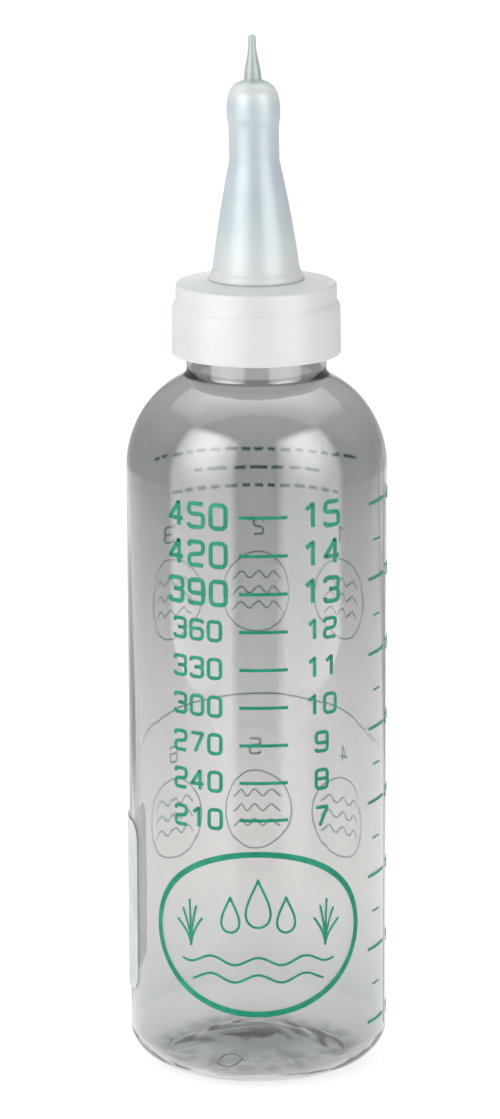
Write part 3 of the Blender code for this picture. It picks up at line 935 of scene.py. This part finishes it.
def roundedStroke(corners, closed, roundness):
    # Each corner becomes a curve (1 - share)^2 * start + 2 * share * (1 - share) * corner + share^2 * end.
    # Start and end lie roundness away along the two legs, or just short of the middle of a short leg.
    corners = np.asarray(corners) * (ink["digitWidth"], 1.0)
    before, after = np.roll(corners, 1, axis=0), np.roll(corners, -1, axis=0)
    if not closed:
        before[0], after[-1] = corners[0], corners[-1]

    def legTo(other):
        leg = other - corners
        length = np.maximum(np.linalg.norm(leg, axis=1, keepdims=True), 1e-9)
        return leg / length * np.minimum(roundness, 0.48 * length)

    start, end = legTo(before), legTo(after)
    if not closed:
        start[[0, -1]], end[[0, -1]] = 0, 0
    share = np.linspace(0, 1, ink["cornerPoints"])[None, :, None]
    curve = (1 - share) ** 2 * (corners + start)[:, None] + 2 * share * (1 - share) * corners[:, None]
    return joinPaths(curve + share**2 * (corners + end)[:, None])


class PrintSheet:
    # collects strokes drawn on the unrolled wall, as (across, height), and lays them round it as one piece

    def __init__(self, centreAngle):
        self.centreAngle = centreAngle  # in radians, 0 at the front, counter-clockwise seen from above
        self.points, self.faces, self.count = [], [], 0

    def stroke(self, path, width, closed=False):
        # a band of that width along the path, with the ink's thickness: four corners at each point
        if closed:
            path = path if np.linalg.norm(path[0] - path[-1]) > samePlace else path[:-1]
            ahead = np.roll(path, -1, axis=0) - np.roll(path, 1, axis=0)
        else:
            ahead = np.gradient(path, axis=0)
        ahead = ahead / np.linalg.norm(ahead, axis=1, keepdims=True)
        side = np.stack([-ahead[:, 1], ahead[:, 0]], axis=1) * width / 2
        low = bodyRadius + ink["clearance"]
        high = low + ink["thickness"]
        rings = []
        left, right = path - side, path + side
        for flat, radius in ((left, low), (right, low), (right, high), (left, high)):
            angle = self.centreAngle + flat[:, 0] / bodyRadius
            rings.append(np.stack([radius * np.sin(angle), -radius * np.cos(angle), flat[:, 1]], axis=1))
        points = np.stack(rings, axis=1)  # (along, 4, 3)
        grid = np.arange(points.shape[0] * 4).reshape(-1, 4) + self.count
        here, there = (grid, np.roll(grid, -1, axis=0)) if closed else (grid[:-1], grid[1:])
        band = np.stack([here, there, np.roll(there, -1, axis=1), np.roll(here, -1, axis=1)], axis=2)
        self.faces.append(band.reshape(-1, 4))
        if not closed:
            self.faces.append(np.stack([grid[0], grid[-1][::-1]]))
        self.points.append(points.reshape(-1, 3))
        self.count += points.shape[0] * 4

    def line(self, start, end, width):
        length = max(abs(end[0] - start[0]), abs(end[1] - start[1]))
        self.stroke(linePath(start, end, max(2, int(length / ink["spacing"]) + 1)), width)

    def figures(self, number, centre, height, width):
        # plain figures, centred on a point
        text = str(number)
        step = (ink["digitWidth"] + ink["digitGap"]) * height
        left = centre[0] - (len(text) * step - ink["digitGap"] * height) / 2
        for index, figure in enumerate(text):
            for corners, closed, roundness in digitStrokes[figure]:
                path = roundedStroke(corners, closed, roundness) * height
                self.stroke(path + np.array([left + index * step, centre[1] - height / 2]), width, closed)

    def finish(self, name, material):
        newPiece(name, np.concatenate(self.points), self.faces, material, "bottle_body")
        print(name + ":", sum(len(face) for face in self.faces), "faces")


def ringPath(centre, half, count):
    # centre + (half width * cosine, half height * sine), all the way round
    turn = np.linspace(0, 2 * np.pi, count + 1)[:-1]
    return asPath(centre[0] + half[0] * np.cos(turn), centre[1] + half[1] * np.sin(turn))


def wavePath(centre, half, rise, pitch, count):
    # centre + (distance, rise * cos(distance / pitch)), the distance running from -half to half
    along = np.linspace(-half, half, count)
    return asPath(centre[0] + along, centre[1] + rise * np.cos(along / pitch))


fill = {
    "mlPerMm": 3.137,  # what the body holds in a millimetre of height
    "lostAtBase": 10.8,  # ml that the raised base takes up
}


def fillHeight(ml):
    return (ml + fill["lostAtBase"]) / fill["mlPerMm"] * mm


frontScale = {
    "levels": range(210, 451, 30),  # ml
    "ounce": 30,  # ml
    "boldFrom": 390,  # ml
    "boldDigit": 5.832 * mm,
    "plainDigit": 4.752 * mm,
    "stroke": 0.19,  # of the digit's height
    "columns": (-15.5 * mm, 16.5 * mm),
    "rule": (-4.5 * mm, 7.5 * mm),
}


def makeFrontScale():
    # a chart of millilitres on the left and fluid ounces on the right
    sheet = PrintSheet(0.0)
    start, end = frontScale["rule"]
    for ml in frontScale["levels"]:
        height = fillHeight(ml)
        digit = frontScale["boldDigit"] if ml >= frontScale["boldFrom"] else frontScale["plainDigit"]
        for column, number in zip(frontScale["columns"], (ml, ml // frontScale["ounce"])):
            sheet.figures(number, (column, height), digit, digit * frontScale["stroke"])
        sheet.line((start, height), (end, height), ink["tick"])
    sheet.finish("front_scale_print", greenInk)


sideScale = {
    "levels": range(30, 451, 30),  # ml
    "axisEnds": (20, 460),  # ml
    # in degrees from the front to the right
    "angles": {"start": 58.0, "major": 75.0, "minor": 69.0, "axis": 78.0, "figures": 86.0},
    "minorInset": 2.5 * mm,
    "minorTick": 0.45 * mm,
    "fine": 0.4 * mm,
    "digit": 2.6 * mm,
}


def makeSideScale():
    # long marks with their figures, a short mark between each two, and a line along them
    sheet = PrintSheet(0.0)
    across = {name: math.radians(angle) * bodyRadius for name, angle in sideScale["angles"].items()}
    minorStart = across["start"] + sideScale["minorInset"]
    for index, ml in enumerate(sideScale["levels"]):
        height = fillHeight(ml)
        if index % 2:
            sheet.line((minorStart, height), (across["minor"], height), sideScale["minorTick"])
        else:
            sheet.line((across["start"], height), (across["major"], height), ink["tick"])
            sheet.figures(ml, (across["figures"], height), sideScale["digit"], sideScale["fine"])
    low, high = (fillHeight(ml) for ml in sideScale["axisEnds"])
    sheet.line((across["axis"], low), (across["axis"], high), sideScale["fine"])
    sheet.finish("side_scale_print", greenInk)


# Places and lengths of the next two drawings are in mm, across and up from the ground; the rest is in metres.
emblem = {
    "line": 1.5 * mm,
    "fineLine": 0.6 * mm,
    "centre": (0, 41.0),
    "half": (27.5, 20.7),
    "drops": ((-7, 46, 4.6), (0, 49, 6.2), (7, 46, 4.6)),  # across, height and size
    "dropWidth": 0.72,  # of its height
    "waves": ((34, 20, 1.0, 1.9), (29.5, 17, 1.0, 1.9)),  # height, half length, rise and pitch
    "tuft": (17.5, 37),
    "blades": ((-3.2, 7.5), (-1.5, 10.5), (0.4, 12.0), (2.4, 9.5), (4.0, 6.5)),  # lean and height
}


def makeEmblem():
    # an oval with drops over two waves and a tuft of grass at each side
    sheet = PrintSheet(0.0)
    sheet.stroke(ringPath(emblem["centre"], emblem["half"], 160) * mm, emblem["line"], closed=True)
    # a drop is (width * sin(turn) * sin(turn / 2)^1.6, cos(turn)) * size
    turn = np.linspace(0, 2 * np.pi, 49)[:-1] + 0.02
    drop = asPath(emblem["dropWidth"] * np.sin(turn) * np.sin(turn / 2) ** 1.6, np.cos(turn))
    for across, height, size in emblem["drops"]:
        sheet.stroke((drop * size + (across, height)) * mm, emblem["fineLine"], closed=True)
    for height, *shape in emblem["waves"]:
        sheet.stroke(wavePath((0, height), *shape, 90) * mm, emblem["fineLine"])
    # a blade of grass leans over by lean * share^1.8
    share = np.linspace(0, 1, 14)
    for side in (-1, 1):
        for lean, tall in emblem["blades"]:
            blade = asPath(side * (emblem["tuft"][0] + lean * share**1.8), emblem["tuft"][1] + tall * share)
            sheet.stroke(blade * mm, emblem["fineLine"])
    sheet.finish("front_emblem_print", greenInk)


backPrint = {
    "line": 0.34 * mm,
    "rows": ((150.5, 29), (145.6, 17), (140.8, 23)),  # height and half length
    "dash": (3.4, 1.6, 1.7),  # mean length, how much it varies, and how fast along the row
    "dashGap": 1.3,
    "dashLine": 0.9 * mm,
    "rings": ((-24, 113), (0, 113), (24, 113), (-24, 55), (0, 55), (24, 55)),
    "ringHalf": (9, 10.5),
    "figureRise": 17,
    "figure": 4.0 * mm,
    "figureLine": 0.5 * mm,
    "waveLevels": (-3.5, 0.5, 4.5),
    "wave": (6.5, 0.9, 1 / 1.45),  # half length, rise and pitch
    "arc": (46, 86, 9),  # half length, top, and how far it falls
    "arcLine": 0.442 * mm,
}


def makeBackPrint():
    # fine lines only: dashes at the top, numbered rings with waves in two rows, and a long arc between them
    sheet = PrintSheet(math.pi)
    dash, varies, rate = backPrint["dash"]
    for height, half in backPrint["rows"]:
        start = -half
        while start < half:
            length = dash + varies * math.sin(rate * start)
            sheet.line(*linePath((start, height), (start + length, height)) * mm, backPrint["dashLine"])
            start += length + backPrint["dashGap"]
    for index, (across, height) in enumerate(backPrint["rings"]):
        ring = ringPath((across, height), backPrint["ringHalf"], 60)
        sheet.stroke(ring * mm, backPrint["line"], closed=True)
        place = (across * mm, (height + backPrint["figureRise"]) * mm)
        sheet.figures(index + 1, place, backPrint["figure"], backPrint["figureLine"])
        for level in backPrint["waveLevels"]:
            sheet.stroke(wavePath((across, height + level), *backPrint["wave"], 40) * mm, backPrint["line"])
    # the arc falls by fall * share^2 to both sides
    share = np.linspace(-1, 1, 90)
    half, top, fall = backPrint["arc"]
    sheet.stroke(asPath(half * share, top - fall * share**2) * mm, backPrint["arcLine"])
    sheet.finish("back_print", brightenedBackInk)


makeFrontScale()
makeSideScale()
makeEmblem()
makeBackPrint()


# Floor, light and camera

lighting = {
    "worldFront": 0.08,  # as mirror images show it in front of the bottle
    "worldBack": 0.35,  # and beside and behind it
    "worldSoft": 0.72,  # as it lights plain surfaces
    "worldThrough": 0.6,  # as it is seen through the clear wall
    "throughSide": 0.15,  # and so seen far to either side
    "frontToBack": (-0.35, 0.25),  # where the first two meet, from towards the camera to away from it
    "middleToSide": (0.45, 0.8),  # and the last two, from the middle to either side
    "sun": 0.9,  # soft light from the left, which reflections don't show
    "sunAngle": 80.0,
    "sunLean": (22.5, -46.0),
    "target": 0.165,  # height that the softboxes look at
    "boxFade": (0.05, 0.45),  # from its bright middle to its darker rest
    "boxRest": 0.34,
    "boxEdges": {"X": 0.16, "Y": 0.14},
    # Each softbox: azimuth from the camera's side, elevation of its middle as seen from the target, distance,
    # width, height, radiance in its bright middle, and the height of that middle from 0 to 1
    "boxes": {
        "softBoxLeft": (-49.0, 0.0, 0.42, 0.56, 0.94, 11.0, 0.78),
        "softBoxRight": (48.0, 0.0, 0.42, 0.53, 0.94, 10.0, 0.78),
        "softBoxTop": (0.0, 104.0, 0.50, 1.30, 0.70, 4.2, 0.5),
        "softBoxBack": (180.0, 5.0, 0.60, 0.36, 0.50, 2.0, 0.5),
    },
}

floorLook = {
    "half": 12.0,
    "below": 0.2 * mm,
    "pale": (0.56, 0.56, 0.56, 1.0),
    "grey": (0.54, 0.54, 0.54, 1.0),
    "mottle": 6.0,
    "roughness": 0.7,
    "glow": 0.60,  # a little like a light table
    "fade": 0.9,
    "front": (-0.12, -0.40),  # mirror images don't show the floor further in front
    "far": (0.62, 0.85),  # nor further off than this
    "side": (0.42, 0.65),  # the clear wall doesn't show the floor further to either side
}


def makeFloor():
    material, tree, shader, place = newMaterial("paleFloor")
    mottle = noiseNode(tree, place, floorLook["mottle"], Detail=3.0)
    setInputs(
        tree, shader, Base_Color=mixColour(tree, mottle, floorLook["pale"], floorLook["grey"]),
        Roughness=floorLook["roughness"],
        Emission_Color=(1.0, 1.0, 1.0, 1.0), Emission_Strength=floorLook["glow"],
    )
    # the room is dark round the table, so mirror images on the outside of the bottle show no floor there, and
    # its clear wall shows none to the sides
    ray = addNode(tree, "ShaderNodeLightPath").outputs
    through = mathNode(tree, "GREATER_THAN", ray["Transmission Depth"], 0.5)
    mirrored = timesNode(tree, ray["Is Glossy Ray"], mathNode(tree, "SUBTRACT", 1.0, through))
    axes = axesNode(tree, place)
    front = rampNode(tree, axes["Y"], *floorLook["front"])
    dark = mathNode(tree, "MAXIMUM", front, rampNode(tree, lengthNode(tree, place), *floorLook["far"]))
    beside = rampNode(tree, mathNode(tree, "ABSOLUTE", axes["X"]), *floorLook["side"])
    unseen = mathNode(tree, "MAXIMUM", timesNode(tree, mirrored, dark), timesNode(tree, through, beside))
    clear = addNode(tree, "ShaderNodeBsdfTransparent").outputs["BSDF"]
    fade = timesNode(tree, unseen, floorLook["fade"])
    mix = addNode(tree, "ShaderNodeMixShader", None, _0=fade, _1=shader.outputs["BSDF"], _2=clear)
    setInputs(tree, tree.nodes["Material Output"], Surface=mix.outputs["Shader"])
    half = floorLook["half"]
    mesh = bpy.data.meshes.new("floor")
    corners = [(-half, -half, 0), (half, -half, 0), (half, half, 0), (-half, half, 0)]
    mesh.from_pydata(corners, [], [(0, 1, 2, 3)])
    mesh.materials.append(material)
    floor = newObject("floor", mesh)
    floor.location = (0, 0, -floorLook["below"])


def softenBox(box, middle):
    # bright round its middle and a third as bright further off, with all four edges fading out
    box.use_nodes = True
    tree = box.node_tree
    spot = addNode(tree, "ShaderNodeNewGeometry").outputs["Parametric"]
    away = lengthNode(tree, vectorNode(tree, "SUBTRACT", spot, (0.5, middle, 0.0)).outputs[0])
    share = rampNode(tree, away, *lighting["boxFade"], 1.0, lighting["boxRest"])
    axes = axesNode(tree, spot)
    for axis, soft in lighting["boxEdges"].items():
        toEdge = mathNode(tree, "PINGPONG", axes[axis], 0.5)
        share = timesNode(tree, share, rampNode(tree, toEdge, 0.0, soft))
    setInputs(tree, tree.nodes["Emission"], Strength=share)


def makeWorld():
    world = bpy.data.worlds.new("studio")
    bpy.context.scene.world = world
    world.use_nodes = True
    tree = world.node_tree
    ray = addNode(tree, "ShaderNodeLightPath").outputs
    axes = axesNode(tree, addNode(tree, "ShaderNodeTexCoord").outputs["Generated"])
    around = (*lighting["frontToBack"], lighting["worldFront"], lighting["worldBack"])
    aside = (*lighting["middleToSide"], lighting["worldThrough"], lighting["throughSide"])
    share = rampNode(tree, axes["Y"], *around)
    through = rampNode(tree, mathNode(tree, "ABSOLUTE", axes["X"]), *aside)
    for output, value in (("Is Diffuse Ray", lighting["worldSoft"]), ("Transmission Depth", through)):
        seen = timesNode(tree, rampNode(tree, ray[output], 0.4, 0.6), value)
        share = mathNode(tree, "MAXIMUM", share, seen)
    setInputs(tree, tree.nodes["Background"], Color=(1.0, 1.0, 1.0, 1.0), Strength=share)


def makeLights():
    sun = bpy.data.lights.new("softSun", "SUN")
    sun.energy = lighting["sun"]
    sun.angle = math.radians(lighting["sunAngle"])
    lamp = newObject("softSun", sun)
    lamp.rotation_euler = tuple(math.radians(angle) for angle in lighting["sunLean"]) + (0.0,)
    lamp.visible_glossy = False
    lamp.visible_transmission = False

    for name, (azimuth, elevation, distance, width, height, radiance, middle) in lighting["boxes"].items():
        box = bpy.data.lights.new(name, "AREA")
        box.shape = "RECTANGLE"
        box.size, box.size_y = width, height
        box.energy = radiance * math.pi * width * height
        softenBox(box, middle)
        lamp = newObject(name, box)
        turn = Matrix.Rotation(math.radians(azimuth), 4, "Z")
        lean = Matrix.Rotation(math.radians(-elevation), 4, "X")
        aim = Matrix.Translation((0, 0, lighting["target"])) @ (turn @ lean)
        upright = Matrix.Rotation(math.radians(90), 4, "X")
        lamp.matrix_world = aim @ Matrix.Translation((0, -distance, 0)) @ upright
        lamp.visible_camera = False
        lamp.visible_transmission = False
        lamp.visible_diffuse = False  # the boxes are there for the reflections


camera = {
    "distance": 1.3,
    "pitch": 13.3,  # degrees
    "aim": 0.12893,
    "sideways": -1.75 * mm,
    "focalPixels": 5200,
    "imageHeight": 1119,
    "sensor": 36.0,
    "roll": -0.18,
    "clip": (0.01, 100),
}


def makeCamera():
    data = bpy.data.cameras.new("camera")
    data.sensor_fit = "VERTICAL"
    data.sensor_height = camera["sensor"]
    data.lens = camera["focalPixels"] / camera["imageHeight"] * camera["sensor"]
    data.clip_start, data.clip_end = camera["clip"]
    eye = newObject("camera", data)
    pitch = math.radians(camera["pitch"])
    eye.location = (
        camera["sideways"],
        -camera["distance"] * math.cos(pitch),
        camera["aim"] + camera["distance"] * math.sin(pitch),
    )
    aim = Matrix.Rotation(math.pi / 2 - pitch, 4, "X") @ Matrix.Rotation(math.radians(camera["roll"]), 4, "Z")
    eye.rotation_euler = aim.to_euler()
    bpy.context.scene.camera = eye


makeFloor()
makeWorld()
makeLights()
makeCamera()
bpy.context.scene.view_settings.view_transform = "Standard"
bpy.context.scene.cycles.use_denoising = True
print("stage: done")
